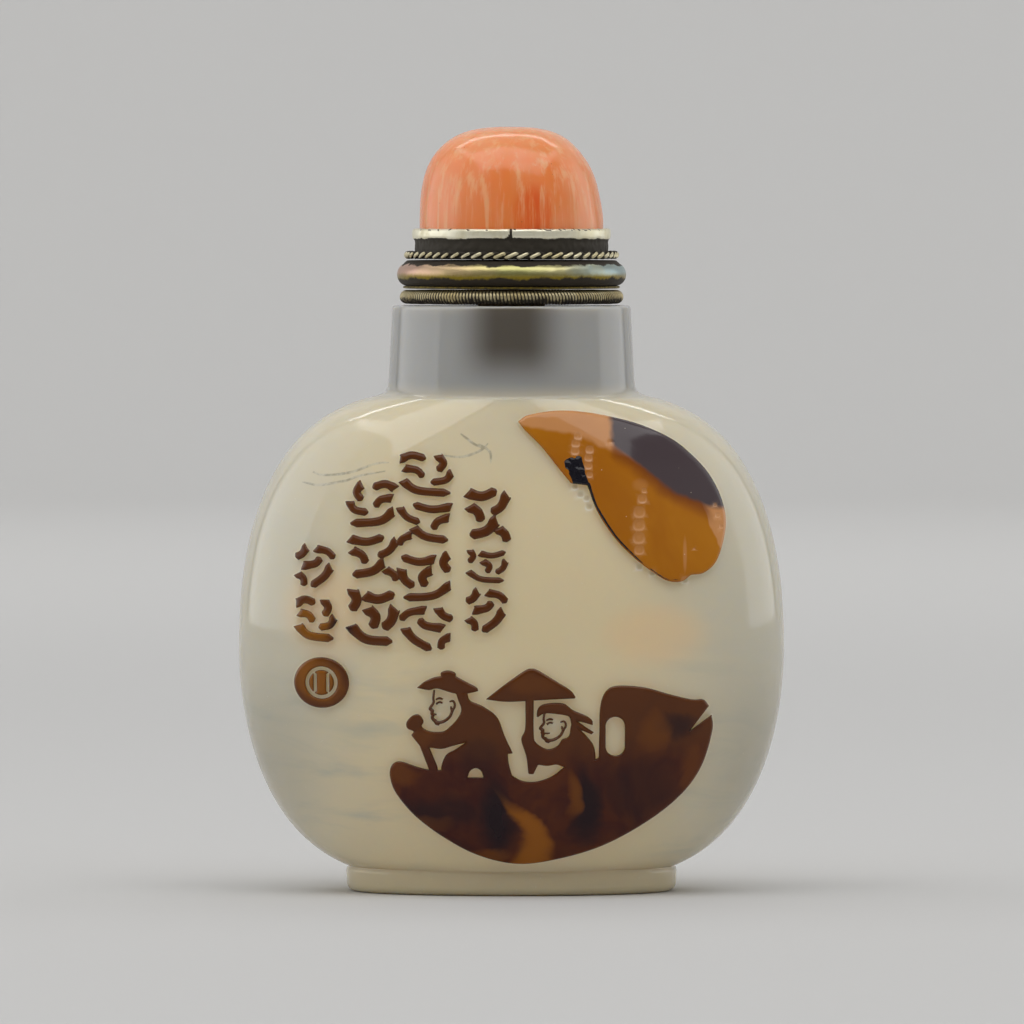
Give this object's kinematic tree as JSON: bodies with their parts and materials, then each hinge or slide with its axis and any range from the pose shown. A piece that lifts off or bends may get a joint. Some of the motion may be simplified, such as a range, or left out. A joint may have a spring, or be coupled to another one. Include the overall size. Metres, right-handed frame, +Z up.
{
  "type": "snuff bottle",
  "caption": "Flattened hollow agate bottle with low relief on its front, a narrow neck bore and a coral stopper in a gilt metal collar.",
  "frame": {"origin": "on the standing surface, under the middle of the foot", "axes": "+Z up through the neck, -Y out of the carved front, +X to the right as seen from the front"},
  "size_m": [0.048, 0.0298, 0.0672],
  "materials": {
    "agate": "polished, translucent, with a darker layer left as relief",
    "coral": "polished",
    "gilt_metal": "worn gilding, dark in the recesses",
    "cork": "matt"
  },
  "bodies": {
    "root": {"bottle": "agate", "cork": "cork", "coiled_wire_ring": "gilt_metal", "collar": "gilt_metal", "twisted_wire_ring": "gilt_metal", "bezel": "gilt_metal", "coral_cap": "coral"}
  },
  "joints": []
}
